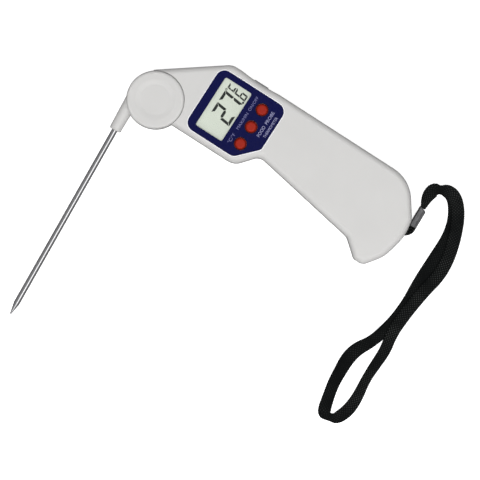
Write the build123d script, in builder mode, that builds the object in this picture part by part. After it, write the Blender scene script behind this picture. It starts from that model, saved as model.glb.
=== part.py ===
from build123d import *
import math
import os

# Folding probe thermometer, lying on its back. Millimetres, +Z towards the display side.
# Origin: pivot axis of the probe hub, on the plane of the rear face.
# +X runs along the housing to its lanyard end, +Y to the side of the battery drawer.

os.makedirs("parts", exist_ok=True)

# ---------------------------------------------------------------- driving dimensions
BODY_T = 20.0
SPLIT_Z = BODY_T / 2
WALL = 2.0
FRONT_EDGE_R = 3.6
REAR_EDGE_R = 4.0

TOP_Y = 40.8
TOE_END_Y = 40.6
BELLY_Y = -6.95
NECK_ANGLE = 36.2

HUB_R = 16.5
NECK_LINE_R = 17.4
LUG_R = 17.05
LUG_CENTRE = (-0.6, 0.3)
SEAT_R = HUB_R + 0.2
SEAT_WALL_R = SEAT_R + WALL
LUG_T = 5.7
DRUM_Z = LUG_T + 0.3
DRUM_TOP = BODY_T + 1.2
CAP_R = 12.4

REST_ANGLE = -86.87
PROBE_OFFSET = 12.2
PROBE_Z = SPLIT_Z
PROBE_R = 1.75
PROBE_BORE_R = 1.35
NECK_R = 1.4
NECK_BORE_R = 1.0
SLEEVE_END = 26.4
PROBE_TIP = 147.6
TIP_LENGTH = 7.2
TUBE_END = PROBE_TIP - TIP_LENGTH

PANEL_Z = BODY_T - 1.0
PANEL_T = 0.85
PANEL_GAP = 0.15
WINDOW_X = (26.8, 44.6)
WINDOW_Y = (0.35, 32.6)
BUTTON_X = 54.3
BUTTONS = {"button_on_off": 28.0, "button_max_min": 16.5, "button_unit": 5.1}
BUTTON_R = 3.1
BUTTON_HOLE_R = 3.6
BUTTON_EDGE_R = 1.1

PCB_Z = 11.0
PCB_T = 1.6
PCB_TOP = PCB_Z + PCB_T

DRAWER_X = 45.5
DRAWER_W = 22.8
DRAWER_GAP = 0.3
CELL_R = 10.0
CELL_Y = 27.0
CELL_Z = 3.05
CELL_T = 3.2

SCREWS = [(20.5, 14.0), (74.0, 32.0), (79.0, 10.0), (144.0, 22.0)]
PCB_SCREWS = [(31.5, -3.0), (60.0, 33.5), (49.5, -3.0)]

POST = (158.3, 12.5)
FERRULE_BASE = (163.3, 18.9)
FERRULE_TOP = (162.9, 30.9)
FERRULE_W = 4.7
FERRULE_Z = (0.1, 3.5)
STRAP_W = 7.2
STRAP_T = 1.4
LEG_LOW_Z = 0.9
LEG_HIGH_Z = 2.5


# ---------------------------------------------------------------- shared profiles
def neck_start():
    """Point where the neck's upper edge leaves a circle just outside the hub as a tangent."""
    turn = math.radians(NECK_ANGLE)
    return (-NECK_LINE_R * math.sin(turn), NECK_LINE_R * math.cos(turn))


def neck_end():
    """Corner where the neck's upper edge would meet the top edge."""
    x, y = neck_start()
    return (x + (TOP_Y - y) / math.tan(math.radians(NECK_ANGLE)), TOP_Y)


# Housing outline: x, y and the corner's radius. The first and last corner lie inside the hub.
HOUSING_CORNERS = [
    (*neck_start(), 0),
    (*neck_end(), 9),
    (147.0, TOE_END_Y, 21.5),
    (160.2, 21.7, 6),
    (162.1, 11.0, 30),
    (158.2, -5.0, 20),
    (150.5, -15.3, 4.5),
    (144.4, -15.3, 4),
    (134.4, -6.8, 7),
    (67.7, 5.0, 6),
    (57.6, BELLY_Y, 9.5),
    (0.0, BELLY_Y, 0),
]

# Front panel outline: x, y and the corner's radius.
PANEL_CORNERS = [
    (21.6, 36.3, 5.5),
    (66.2, 36.3, 5.5),
    (66.2, 8.6, 3),
    (54.6, -3.5, 5),
    (21.6, -3.5, 5.5),
]

# The finger scoop in the top edge is a shallow arc over the drawer.
SCOOP_DEPTH = 0.7
SCOOP_CHORD = 25.0
SCOOP_R = SCOOP_CHORD**2 / (8 * SCOOP_DEPTH) + SCOOP_DEPTH / 2

# The toe is left solid, for the slot that takes the probe's tip.
TOE_CENTRE = (142.0, -14.0)
TOE_SIZE = (24.0, 16.0)

with BuildSketch() as housing_outline:
    with BuildLine():
        FilletPolyline(
            *[corner[:2] for corner in HOUSING_CORNERS],
            radius=[corner[2] for corner in HOUSING_CORNERS],
            close=True,
        )
    make_face()
    with Locations((DRAWER_X, TOP_Y - SCOOP_DEPTH + SCOOP_R)):
        Circle(SCOOP_R, mode=Mode.SUBTRACT)

with BuildSketch() as cavity_outline:
    add(housing_outline.sketch)
    offset(amount=-WALL, kind=Kind.INTERSECTION)
    Circle(SEAT_WALL_R, mode=Mode.SUBTRACT)
    with Locations(TOE_CENTRE):
        Rectangle(*TOE_SIZE, mode=Mode.SUBTRACT)

with BuildSketch() as panel_outline:
    with BuildLine():
        FilletPolyline(
            *[corner[:2] for corner in PANEL_CORNERS],
            radius=[corner[2] for corner in PANEL_CORNERS],
            close=True,
        )
    make_face()

WINDOW_CENTRE = (sum(WINDOW_X) / 2, sum(WINDOW_Y) / 2)
WINDOW_SIZE = (WINDOW_X[1] - WINDOW_X[0], WINDOW_Y[1] - WINDOW_Y[0])
WINDOW_CORNER_R = 1.2

# The hub's own frame: +X along the probe, seen at rest.
hub_frame = Plane.XY.rotated((0, 0, REST_ANGLE))


def hub_point(along, side, z):
    """A point given along and beside the probe, in the housing's frame."""
    return hub_frame.from_local_coords(Vector(along, side, z))


def across_probe(along):
    """Plane square to the probe, centred on its axis, this far along it."""
    return Plane(hub_point(along, -PROBE_OFFSET, PROBE_Z), x_dir=(0, 0, 1), z_dir=hub_frame.x_dir)


# Swept place of the sleeve when the probe stands fully open, in line with the housing.
SLEEVE_RELIEF_R = 4.5
SLEEVE_RELIEF_L = 20.0
sleeve_open = Plane((-3.0, PROBE_OFFSET, PROBE_Z), x_dir=(0, 0, 1), z_dir=(-1, 0, 0))

# Slot in the toe that takes the folded probe's tip.
SLOT_X = (128.0, 149.6)
SLOT_TOP_Y = -9.1
SLOT_DEPTH = 10.0
SLOT_HALF_H = 2.4


with BuildPart() as toe_slot:
    with BuildSketch(Plane.XY.offset(SPLIT_Z - SLOT_HALF_H)):
        with Locations((sum(SLOT_X) / 2, SLOT_TOP_Y - SLOT_DEPTH / 2)):
            Rectangle(SLOT_X[1] - SLOT_X[0], SLOT_DEPTH)
    extrude(amount=2 * SLOT_HALF_H)

with BuildPart() as sleeve_relief:
    with BuildSketch(sleeve_open):
        Circle(SLEEVE_RELIEF_R)
    extrude(amount=SLEEVE_RELIEF_L)

# ---------------------------------------------------------------- front shell
FRONT_BOSS_R = 3.0
SCREW_CORE_R = 1.0
SCREW_HOLE_DEPTH = 5.0
PCB_BOSS_R = 1.7
PCB_SCREW_R = 0.6
PCB_HOLE_DEPTH = 3.0
WINDOW_CLEAR = 0.5

with BuildPart() as front_shell:
    with BuildSketch(Plane.XY.offset(SPLIT_Z)):
        add(housing_outline.sketch)
    extrude(amount=SPLIT_Z)
    fillet(front_shell.faces().sort_by(Axis.Z)[-1].edges(), FRONT_EDGE_R)
    with BuildSketch(Plane.XY.offset(SPLIT_Z)):
        add(cavity_outline.sketch)
    extrude(amount=SPLIT_Z - WALL, mode=Mode.SUBTRACT)
    with BuildSketch(Plane.XY.offset(SPLIT_Z)):
        with Locations(*SCREWS):
            Circle(FRONT_BOSS_R)
    extrude(amount=SPLIT_Z - WALL)
    with BuildSketch(Plane.XY.offset(PCB_TOP)):
        with Locations(*PCB_SCREWS):
            Circle(PCB_BOSS_R)
    extrude(amount=BODY_T - WALL - PCB_TOP)
    with BuildSketch(Plane.XY.offset(SPLIT_Z)):
        with Locations(*SCREWS):
            Circle(SCREW_CORE_R)
    extrude(amount=SCREW_HOLE_DEPTH, mode=Mode.SUBTRACT)
    with BuildSketch(Plane.XY.offset(PCB_TOP)):
        with Locations(*PCB_SCREWS):
            Circle(PCB_SCREW_R)
    extrude(amount=PCB_HOLE_DEPTH, mode=Mode.SUBTRACT)
    with BuildSketch(Plane.XY.offset(SPLIT_Z)):
        Circle(SEAT_R)
    extrude(amount=BODY_T, mode=Mode.SUBTRACT)
    with BuildSketch(Plane.XY.offset(PANEL_Z)):
        add(panel_outline.sketch)
    extrude(amount=BODY_T, mode=Mode.SUBTRACT)
    with BuildSketch(Plane.XY.offset(SPLIT_Z)):
        with Locations(WINDOW_CENTRE):
            RectangleRounded(
                WINDOW_SIZE[0] + 2 * WINDOW_CLEAR, WINDOW_SIZE[1] + 2 * WINDOW_CLEAR, WINDOW_CORNER_R
            )
        with Locations(*[(BUTTON_X, y) for y in BUTTONS.values()]):
            Circle(BUTTON_HOLE_R)
    extrude(amount=BODY_T, mode=Mode.SUBTRACT)
    add([toe_slot.part, sleeve_relief.part], mode=Mode.SUBTRACT)
front_shell.part.label = "front_shell"
export_step(front_shell.part, "parts/front_shell.step")

# ---------------------------------------------------------------- rear shell
BUSH_R = 5.0
BUSH_FLANGE_R = 6.5
BUSH_FLANGE_T = 0.5
LUG_EDGE_R = 3.0
PIVOT_POCKET_R = 6.8
PIVOT_POCKET_TOP = 3.2
LEAD_CHANNEL_Z = (0.85, 1.75)
REAR_BOSS_R = 3.2
SCREW_CLEAR_R = 1.25
SCREW_SINK_R = 2.5
SCREW_SINK_T = 2.2
RAIL_W = 1.0
BAY_Z = (2.2, 7.8)
RAIL_L = 24.0
RAIL_H = 5.0
BAY_MOUTH = 8.0
# Solid block that holds the lanyard post, and the pocket cut into it from outside.
ANCHOR_CENTRE = (POST[0], POST[1] + 1.0)
ANCHOR_SIZE = (10.0, 15.0)
LANYARD_POCKET_Z = (1.2, 4.9)
LANYARD_POCKET = ((POST[0] + 3.3, POST[1]), (12.0, 7.6, 2.5))
LANYARD_EXIT = ((POST[0] + 5.3, POST[1] + 6.0), (10.0, 9.0))
# Channel for the leads from the pivot to the board, and its way up into the housing.
CHANNEL = ((13.0, 0), (17.0, 1.8))
CHANNEL_END = ((20.5, 0), (3.0, 1.8))

with BuildPart() as lug:
    with BuildSketch():
        with Locations(LUG_CENTRE):
            Circle(LUG_R)
    extrude(amount=LUG_T)
    fillet(lug.faces().sort_by(Axis.Z)[0].edges(), LUG_EDGE_R)

with BuildPart() as rear_shell:
    with BuildSketch():
        add(housing_outline.sketch)
    extrude(amount=SPLIT_Z)
    fillet(rear_shell.faces().sort_by(Axis.Z)[0].edges(), REAR_EDGE_R)
    with BuildSketch(Plane.XY.offset(WALL)):
        add(cavity_outline.sketch)
        with Locations(ANCHOR_CENTRE):
            Rectangle(*ANCHOR_SIZE, mode=Mode.SUBTRACT)
    extrude(amount=SPLIT_Z, mode=Mode.SUBTRACT)
    with BuildSketch(Plane.XY.offset(LUG_T)):
        Circle(SEAT_R)
    extrude(amount=SPLIT_Z, mode=Mode.SUBTRACT)
    add(lug.part)
    # bearing seat, pocket for the clip and channel for the leads
    with BuildSketch():
        Circle(PIVOT_POCKET_R)
    extrude(amount=PIVOT_POCKET_TOP, mode=Mode.SUBTRACT)
    with BuildSketch():
        Circle(BUSH_R)
    extrude(amount=LUG_T, mode=Mode.SUBTRACT)
    with BuildSketch(Plane.XY.offset(LUG_T - BUSH_FLANGE_T)):
        Circle(BUSH_FLANGE_R)
    extrude(amount=BUSH_FLANGE_T, mode=Mode.SUBTRACT)
    with BuildSketch(Plane.XY.offset(LEAD_CHANNEL_Z[0])):
        with Locations(CHANNEL[0]):
            Rectangle(*CHANNEL[1])
    extrude(amount=LEAD_CHANNEL_Z[1] - LEAD_CHANNEL_Z[0], mode=Mode.SUBTRACT)
    with BuildSketch(Plane.XY.offset(LEAD_CHANNEL_Z[0])):
        with Locations(CHANNEL_END[0]):
            Rectangle(*CHANNEL_END[1])
    extrude(amount=WALL, mode=Mode.SUBTRACT)
    # screw posts
    with BuildSketch(Plane.XY.offset(WALL)):
        with Locations(*SCREWS):
            Circle(REAR_BOSS_R)
    extrude(amount=SPLIT_Z - WALL)
    with BuildSketch():
        with Locations(*SCREWS):
            Circle(SCREW_CLEAR_R)
    extrude(amount=SPLIT_Z, mode=Mode.SUBTRACT)
    with BuildSketch():
        with Locations(*SCREWS):
            Circle(SCREW_SINK_R)
    extrude(amount=SCREW_SINK_T, mode=Mode.SUBTRACT)
    # rails and mouth of the battery bay
    with BuildSketch(Plane.XY.offset(WALL)):
        rail_x = DRAWER_W / 2 + DRAWER_GAP + RAIL_W / 2
        with Locations((DRAWER_X - rail_x, CELL_Y), (DRAWER_X + rail_x, CELL_Y)):
            Rectangle(RAIL_W, RAIL_L)
    extrude(amount=RAIL_H)
    with BuildSketch(Plane.XY.offset(BAY_Z[0])):
        with Locations((DRAWER_X, TOP_Y)):
            Rectangle(DRAWER_W + 2 * DRAWER_GAP, BAY_MOUTH)
    extrude(amount=BAY_Z[1] - BAY_Z[0], mode=Mode.SUBTRACT)
    # open pocket around the lanyard post
    with BuildSketch(Plane.XY.offset(LANYARD_POCKET_Z[0])):
        with Locations(LANYARD_POCKET[0]):
            RectangleRounded(*LANYARD_POCKET[1])
        with Locations(LANYARD_EXIT[0]):
            Rectangle(*LANYARD_EXIT[1])
    extrude(amount=LANYARD_POCKET_Z[1] - LANYARD_POCKET_Z[0], mode=Mode.SUBTRACT)
    add([toe_slot.part, sleeve_relief.part], mode=Mode.SUBTRACT)
rear_shell.part.label = "rear_shell"
export_step(rear_shell.part, "parts/rear_shell.step")

# ---------------------------------------------------------------- front panel and display
with BuildPart() as bezel_panel:
    with BuildSketch(Plane.XY.offset(PANEL_Z)):
        add(panel_outline.sketch)
        offset(amount=-PANEL_GAP)
        with Locations(WINDOW_CENTRE):
            RectangleRounded(*WINDOW_SIZE, WINDOW_CORNER_R, mode=Mode.SUBTRACT)
        with Locations(*[(BUTTON_X, y) for y in BUTTONS.values()]):
            Circle(BUTTON_HOLE_R, mode=Mode.SUBTRACT)
    extrude(amount=PANEL_T)
bezel_panel.part.label = "bezel_panel"
export_step(bezel_panel.part, "parts/bezel_panel.step")

LENS_Z = 18.7
LENS_T = 0.9
with BuildPart() as lcd_window:
    with BuildSketch(Plane.XY.offset(LENS_Z)):
        with Locations(WINDOW_CENTRE):
            RectangleRounded(WINDOW_SIZE[0] - 0.1, WINDOW_SIZE[1] - 0.1, WINDOW_CORNER_R)
    extrude(amount=LENS_T)
lcd_window.part.label = "lcd_window"
export_step(lcd_window.part, "parts/lcd_window.step")

GLASS_Z = 15.6
GLASS_T = 2.2
LCD_TOP = GLASS_Z + GLASS_T
# The front polariser is a step that stands up into the window.
FACE_STEP = 0.7
FRAME_WALL = 1.2
GLASS_SIZE = (WINDOW_SIZE[0] + 0.6, WINDOW_SIZE[1] + 0.6)
with BuildPart() as lcd_glass:
    with BuildSketch(Plane.XY.offset(GLASS_Z)):
        with Locations(WINDOW_CENTRE):
            Rectangle(*GLASS_SIZE)
    extrude(amount=GLASS_T)
    with BuildSketch(Plane.XY.offset(LCD_TOP)):
        with Locations(WINDOW_CENTRE):
            RectangleRounded(*WINDOW_SIZE, WINDOW_CORNER_R)
    extrude(amount=FACE_STEP)
lcd_glass.part.label = "lcd_glass"
export_step(lcd_glass.part, "parts/lcd_glass.step")

with BuildPart() as lcd_frame:
    with BuildSketch(Plane.XY.offset(PCB_TOP)):
        with Locations(WINDOW_CENTRE):
            Rectangle(GLASS_SIZE[0] + 2 * FRAME_WALL, GLASS_SIZE[1] + 2 * FRAME_WALL)
            Rectangle(*GLASS_SIZE, mode=Mode.SUBTRACT)
    extrude(amount=LCD_TOP - PCB_TOP)
    with BuildSketch(Plane.XY.offset(PCB_TOP)):
        with Locations(WINDOW_CENTRE):
            Rectangle(*GLASS_SIZE)
            Rectangle(GLASS_SIZE[0] - 6, GLASS_SIZE[1] - 6, mode=Mode.SUBTRACT)
    extrude(amount=1.0)
lcd_frame.part.label = "lcd_frame"
export_step(lcd_frame.part, "parts/lcd_frame.step")

ZEBRA_W = 1.8
with BuildPart() as zebra_strips:
    with BuildSketch(Plane.XY.offset(PCB_TOP + 1.0)):
        reach = GLASS_SIZE[0] / 2 - ZEBRA_W / 2 - 0.2
        with Locations(
            (WINDOW_CENTRE[0] - reach, WINDOW_CENTRE[1]), (WINDOW_CENTRE[0] + reach, WINDOW_CENTRE[1])
        ):
            Rectangle(ZEBRA_W, GLASS_SIZE[1] - 4)
    extrude(amount=GLASS_Z - PCB_TOP - 1.0)
zebra_strips.part.label = "zebra_strips"
export_step(zebra_strips.part, "parts/zebra_strips.step")

# Reading on the display. Digits read along +Y with their tops towards -X and lean a little.
DIGIT_LEAN = 0.12
SEGMENT_T = 0.08
GAP_SHARE = 0.11
BIG_STROKE = 1.6
SMALL_STROKE = 0.95
DOT_R = 0.65
DEGREE_R = (0.65, 0.3)


def digit_bars(width, height, stroke):
    """Corners of the seven mitred bars, measured across and down from the digit's top left."""
    half, middle, gap = stroke / 2, height / 2, stroke * GAP_SHARE
    top = [
        (gap - half, -half),
        (width + half - gap, -half),
        (width - half - gap, half),
        (half + gap, half),
    ]
    upper = [
        (-half, gap - half),
        (-half, middle - gap),
        (0, middle - gap),
        (half, middle - half - gap),
        (half, half + gap),
    ]
    centre = [
        (gap, middle),
        (half + gap, middle - half),
        (width - half - gap, middle - half),
        (width - gap, middle),
        (width - half - gap, middle + half),
        (half + gap, middle + half),
    ]
    upper_right = [(width - u, v) for u, v in upper]
    return {
        "a": top,
        "b": upper_right,
        "c": [(u, height - v) for u, v in upper_right],
        "d": [(u, height - v) for u, v in top],
        "e": [(u, height - v) for u, v in upper],
        "f": upper,
        "g": centre,
    }


def draw_digit(lit, top_x, low_y, height, width, stroke):
    """Seven-segment figure: top edge at top_x, left side at low_y."""
    bars = digit_bars(width, height, stroke)
    for bar in lit:
        corners = [
            (top_x + v, low_y + u + DIGIT_LEAN * (height / 2 - v)) for u, v in bars[bar]
        ]
        Polygon(*corners, align=None)


with BuildPart() as lcd_segments:
    with BuildSketch(Plane.XY.offset(LCD_TOP + FACE_STEP)):
        draw_digit("abged", 31.3, 11.4, 11.4, 5.3, BIG_STROKE)
        draw_digit("abc", 31.3, 19.4, 11.4, 5.3, BIG_STROKE)
        draw_digit("afgedc", 36.3, 27.4, 6.7, 2.7, SMALL_STROKE)
        draw_digit("afed", 31.2, 28.3, 3.7, 2.4, SMALL_STROKE)
        with Locations((43.0, 25.6)):
            Circle(DOT_R)
        with Locations((30.8, 27.0)):
            Circle(DEGREE_R[0])
            Circle(DEGREE_R[1], mode=Mode.SUBTRACT)
    extrude(amount=SEGMENT_T)
lcd_segments.part.label = "lcd_segments"
export_step(lcd_segments.part, "parts/lcd_segments.step")

# ---------------------------------------------------------------- circuit board
PCB_SCREW_PLAY = 0.25
PCB_CORNERS = [(25.8, -4.6), (53.6, -4.6), (63.5, 7.0), (63.5, 36.6), (30.0, 36.6), (25.8, 33.5)]
with BuildPart() as main_pcb:
    with BuildSketch(Plane.XY.offset(PCB_Z)):
        Polygon(*PCB_CORNERS, align=None)
        with Locations(*PCB_SCREWS):
            Circle(PCB_SCREW_R + PCB_SCREW_PLAY, mode=Mode.SUBTRACT)
    extrude(amount=PCB_T)
main_pcb.part.label = "main_pcb"
export_step(main_pcb.part, "parts/main_pcb.step")

# Chips on the board's underside: centre x and y, width, depth, height.
CHIPS = [
    (33.0, 8.0, 9.0, 9.0, 1.3),
    (52.0, 7.0, 6.0, 5.0, 1.1),
    (60.0, 16.0, 3.0, 6.5, 1.0),
    (60.0, 26.0, 2.0, 4.0, 0.9),
]
with BuildPart() as pcb_chips:
    for x, y, width, depth, height in CHIPS:
        with BuildSketch(Plane.XY.offset(PCB_Z - height)):
            with Locations((x, y)):
                Rectangle(width, depth)
        extrude(amount=height)
pcb_chips.part.label = "pcb_chips"
export_step(pcb_chips.part, "parts/pcb_chips.step")

SWITCH_W = 6.0
SWITCH_CORNER_R = 0.5
SWITCH_STEM_R = 1.5
SWITCH_T = 2.0
SWITCH_TOP = 16.1
with BuildPart() as tact_switches:
    with BuildSketch(Plane.XY.offset(PCB_TOP)):
        with Locations(*[(BUTTON_X, y) for y in BUTTONS.values()]):
            RectangleRounded(SWITCH_W, SWITCH_W, SWITCH_CORNER_R)
    extrude(amount=SWITCH_T)
    with BuildSketch(Plane.XY.offset(PCB_TOP)):
        with Locations(*[(BUTTON_X, y) for y in BUTTONS.values()]):
            Circle(SWITCH_STEM_R)
    extrude(amount=SWITCH_TOP - PCB_TOP)
tact_switches.part.label = "tact_switches"
export_step(tact_switches.part, "parts/tact_switches.step")

PCB_SCREW_HEAD_R = 1.3
PCB_SCREW_HEAD_T = 0.9
PCB_SCREW_GRIP = 2.3
with BuildPart() as pcb_screws:
    with BuildSketch(Plane.XY.offset(PCB_Z - PCB_SCREW_HEAD_T)):
        with Locations(*PCB_SCREWS):
            Circle(PCB_SCREW_HEAD_R)
    extrude(amount=PCB_SCREW_HEAD_T)
    with BuildSketch(Plane.XY.offset(PCB_Z - PCB_SCREW_HEAD_T)):
        with Locations(*PCB_SCREWS):
            Circle(PCB_SCREW_R)
    extrude(amount=PCB_SCREW_HEAD_T + PCB_T + PCB_SCREW_GRIP)
pcb_screws.part.label = "pcb_screws"
export_step(pcb_screws.part, "parts/pcb_screws.step")

# ---------------------------------------------------------------- push buttons
BUTTON_BASE = 16.9
BUTTON_TOP = 20.7
BUTTON_FLANGE_R = 4.2
BUTTON_FLANGE_T = 0.8
for button_name, button_y in BUTTONS.items():
    with BuildPart() as button:
        with BuildSketch(Plane.XY.offset(BUTTON_BASE)):
            with Locations((BUTTON_X, button_y)):
                Circle(BUTTON_R)
        extrude(amount=BUTTON_TOP - BUTTON_BASE)
        fillet(button.faces().sort_by(Axis.Z)[-1].edges(), BUTTON_EDGE_R)
        with BuildSketch(Plane.XY.offset(BUTTON_BASE)):
            with Locations((BUTTON_X, button_y)):
                Circle(BUTTON_FLANGE_R)
        extrude(amount=BUTTON_FLANGE_T)
    button.part.label = button_name
    export_step(button.part, f"parts/{button_name}.step")

# ---------------------------------------------------------------- battery drawer
TRAY_Z = 2.4
TRAY_TOP = 6.4
TRAY_Y = (15.5, 38.2)
TRAY_FLOOR = 0.6
DOOR_Z = (2.5, 7.5)
LIP_W = 9.5
LIP_Z = (3.2, 6.8)
LIP_PROUD = 1.1
SLOT_W = 5.0
SLOT_L = 15.0
DOOR_T = 4.0
LIP_T = 2.0
LIP_CORNER_R = 0.6
LIP_SHIFT = 0.45
CELL_PLAY = 0.15

with BuildPart() as battery_drawer:
    with BuildSketch(Plane.XY.offset(TRAY_Z)):
        with Locations((DRAWER_X, sum(TRAY_Y) / 2)):
            Rectangle(DRAWER_W, TRAY_Y[1] - TRAY_Y[0])
    extrude(amount=TRAY_TOP - TRAY_Z)
    with BuildSketch(Plane.XY.offset(DOOR_Z[0])):
        with Locations((DRAWER_X, TOP_Y + 1.0 - DOOR_T / 2)):
            Rectangle(DRAWER_W, DOOR_T)
        add(housing_outline.sketch, mode=Mode.INTERSECT)
    extrude(amount=DOOR_Z[1] - DOOR_Z[0])
    with BuildSketch(Plane.XY.offset(LIP_Z[0])):
        with Locations((DRAWER_X + LIP_SHIFT, TOP_Y - SCOOP_DEPTH + LIP_PROUD - LIP_T / 2)):
            RectangleRounded(LIP_W, LIP_T, LIP_CORNER_R)
    extrude(amount=LIP_Z[1] - LIP_Z[0])
    with BuildSketch(Plane.XY.offset(TRAY_Z + TRAY_FLOOR)):
        with Locations((DRAWER_X, CELL_Y)):
            Circle(CELL_R + CELL_PLAY)
    extrude(amount=TRAY_TOP, mode=Mode.SUBTRACT)
    with BuildSketch(Plane.XY.offset(TRAY_Z)):
        with Locations((DRAWER_X, TRAY_Y[0] - 1.0 + SLOT_L / 2)):
            Rectangle(SLOT_W, SLOT_L)
    extrude(amount=TRAY_FLOOR + 0.3, mode=Mode.SUBTRACT)
battery_drawer.part.label = "battery_drawer"
export_step(battery_drawer.part, "parts/battery_drawer.step")

CELL_CAN_STEP = (1.2, 0.5)
CELL_EDGE_R = 0.4
with BuildPart() as coin_cell:
    with BuildSketch(Plane.XY.offset(CELL_Z)):
        with Locations((DRAWER_X, CELL_Y)):
            Circle(CELL_R - CELL_CAN_STEP[0])
    extrude(amount=CELL_T)
    with BuildSketch(Plane.XY.offset(CELL_Z + CELL_CAN_STEP[1])):
        with Locations((DRAWER_X, CELL_Y)):
            Circle(CELL_R)
    extrude(amount=CELL_T - CELL_CAN_STEP[1])
    fillet(coin_cell.faces().sort_by(Axis.Z)[-1].edges(), CELL_EDGE_R)
coin_cell.part.label = "coin_cell"
export_step(coin_cell.part, "parts/coin_cell.step")

CONTACT_T = 0.3
PLUS_HALF_W = 2.0
MINUS_HALF_W = 1.8
with BuildPart() as battery_contact_plus:
    with BuildSketch(Plane.XZ.offset(-CELL_Y)):
        with BuildLine():
            leaf = FilletPolyline(
                (40.0, PCB_Z - 0.15), (47.5, PCB_Z - 0.15), (50.5, 6.75), (44.5, 7.3), radius=[0.8, 1.0]
            )
        trace(leaf, CONTACT_T)
    extrude(amount=PLUS_HALF_W, both=True)
battery_contact_plus.part.label = "battery_contact_plus"
export_step(battery_contact_plus.part, "parts/battery_contact_plus.step")

with BuildPart() as battery_contact_minus:
    with BuildSketch(Plane.YZ.offset(DRAWER_X)):
        with BuildLine():
            leaf = FilletPolyline(
                (12.0, 2.17), (18.5, 2.17), (21.0, 2.8), (24.0, 2.17), radius=[1.5, 1.5]
            )
        trace(leaf, CONTACT_T)
    extrude(amount=MINUS_HALF_W, both=True)
battery_contact_minus.part.label = "battery_contact_minus"
export_step(battery_contact_minus.part, "parts/battery_contact_minus.step")

# ---------------------------------------------------------------- pivot
BUSH_BORE_R = 3.5
RUNNING_PLAY = 0.05
SPINDLE_R = BUSH_BORE_R - RUNNING_PLAY
SPINDLE_HEAD_R = 6.0
SPINDLE_HEAD_T = 1.0
SPINDLE_BORE_R = 2.0
SPINDLE_LOW = 1.85
CLIP_Z = (2.15, 2.65)
CLIP_GROOVE_R = 2.9
CLIP_R = 5.2
CLIP_MOUTH = (5.0, 3.6)
WASHER_R = 5.9
WASHER_T = 0.35
DRUM_FLOOR = 2.0
DRUM_BORE_R = 11.4
CAP_T = 2.0
DRUM_EDGE_R = 1.6

with BuildPart() as pivot_bush:
    with BuildSketch(Plane.XY.offset(PIVOT_POCKET_TOP)):
        Circle(BUSH_R)
        Circle(BUSH_BORE_R, mode=Mode.SUBTRACT)
    extrude(amount=LUG_T - PIVOT_POCKET_TOP)
    with BuildSketch(Plane.XY.offset(LUG_T - BUSH_FLANGE_T)):
        Circle(BUSH_FLANGE_R)
        Circle(BUSH_BORE_R, mode=Mode.SUBTRACT)
    extrude(amount=BUSH_FLANGE_T)
pivot_bush.part.label = "pivot_bush"
export_step(pivot_bush.part, "parts/pivot_bush.step")

with BuildPart() as pivot_cover:
    with BuildSketch():
        Circle(PIVOT_POCKET_R)
    extrude(amount=LEAD_CHANNEL_Z[0] - RUNNING_PLAY)
pivot_cover.part.label = "pivot_cover"
export_step(pivot_cover.part, "parts/pivot_cover.step")

SLEEVE_ROOT_R = 4.0
SLEEVE_END_R = 3.5
SLEEVE_START = 4.0
ORING_R = 11.0
ORING_WIRE_R = 0.7
ORING_GROOVE_D = 1.2
ORING_PROUD = 0.2
SLEEVE_TIP_R = 0.9
sleeve_taper = math.degrees(math.atan((SLEEVE_ROOT_R - SLEEVE_END_R) / (SLEEVE_END - SLEEVE_START)))

with BuildPart() as sleeve:
    with BuildSketch(across_probe(SLEEVE_START)):
        Circle(SLEEVE_ROOT_R)
    extrude(amount=SLEEVE_END - SLEEVE_START, taper=sleeve_taper)
    fillet(sleeve.faces().sort_by(Axis((0, 0, 0), hub_frame.x_dir))[-1].edges(), SLEEVE_TIP_R)

with BuildPart() as probe_hub:
    with BuildSketch(Plane.XY.offset(DRUM_Z)):
        Circle(HUB_R)
    extrude(amount=DRUM_TOP - DRUM_Z)
    fillet(probe_hub.faces().sort_by(Axis.Z)[-1].edges(), DRUM_EDGE_R)
    add(sleeve.part)
    with BuildSketch(Plane.XY.offset(DRUM_Z + DRUM_FLOOR)):
        Circle(DRUM_BORE_R)
    extrude(amount=BODY_T, mode=Mode.SUBTRACT)
    with BuildSketch(Plane.XY.offset(DRUM_TOP - CAP_T)):
        Circle(CAP_R)
    extrude(amount=CAP_T, mode=Mode.SUBTRACT)
    with BuildSketch(Plane.XY.offset(DRUM_Z)):
        Circle(SPINDLE_R)
    extrude(amount=DRUM_FLOOR, mode=Mode.SUBTRACT)
    with BuildSketch(Plane.XY.offset(DRUM_Z)):
        Circle(ORING_R + ORING_WIRE_R + RUNNING_PLAY)
        Circle(ORING_R - ORING_WIRE_R - RUNNING_PLAY, mode=Mode.SUBTRACT)
    extrude(amount=ORING_GROOVE_D, mode=Mode.SUBTRACT)
    with BuildSketch(across_probe(0)):
        Circle(NECK_R)
    extrude(amount=SLEEVE_END + 1, mode=Mode.SUBTRACT)
probe_hub.part.label = "probe_hub"
export_step(probe_hub.part, "parts/probe_hub.step")

DISH_DEPTH = 0.5
DISH_FLOOR_R = 8.8
DISH_R = 11.4
DISH_ROUND_R = 5.0
with BuildPart() as hub_cap:
    with BuildSketch(Plane.XY.offset(DRUM_TOP - CAP_T)):
        Circle(CAP_R)
    extrude(amount=CAP_T)
    with Locations((0, 0, DRUM_TOP - DISH_DEPTH / 2)):
        Cone(DISH_FLOOR_R, DISH_R, DISH_DEPTH, mode=Mode.SUBTRACT)
    fillet(hub_cap.edges().filter_by(GeomType.CIRCLE).sort_by(SortBy.RADIUS)[0:2], DISH_ROUND_R)
hub_cap.part.label = "hub_cap"
export_step(hub_cap.part, "parts/hub_cap.step")

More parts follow.
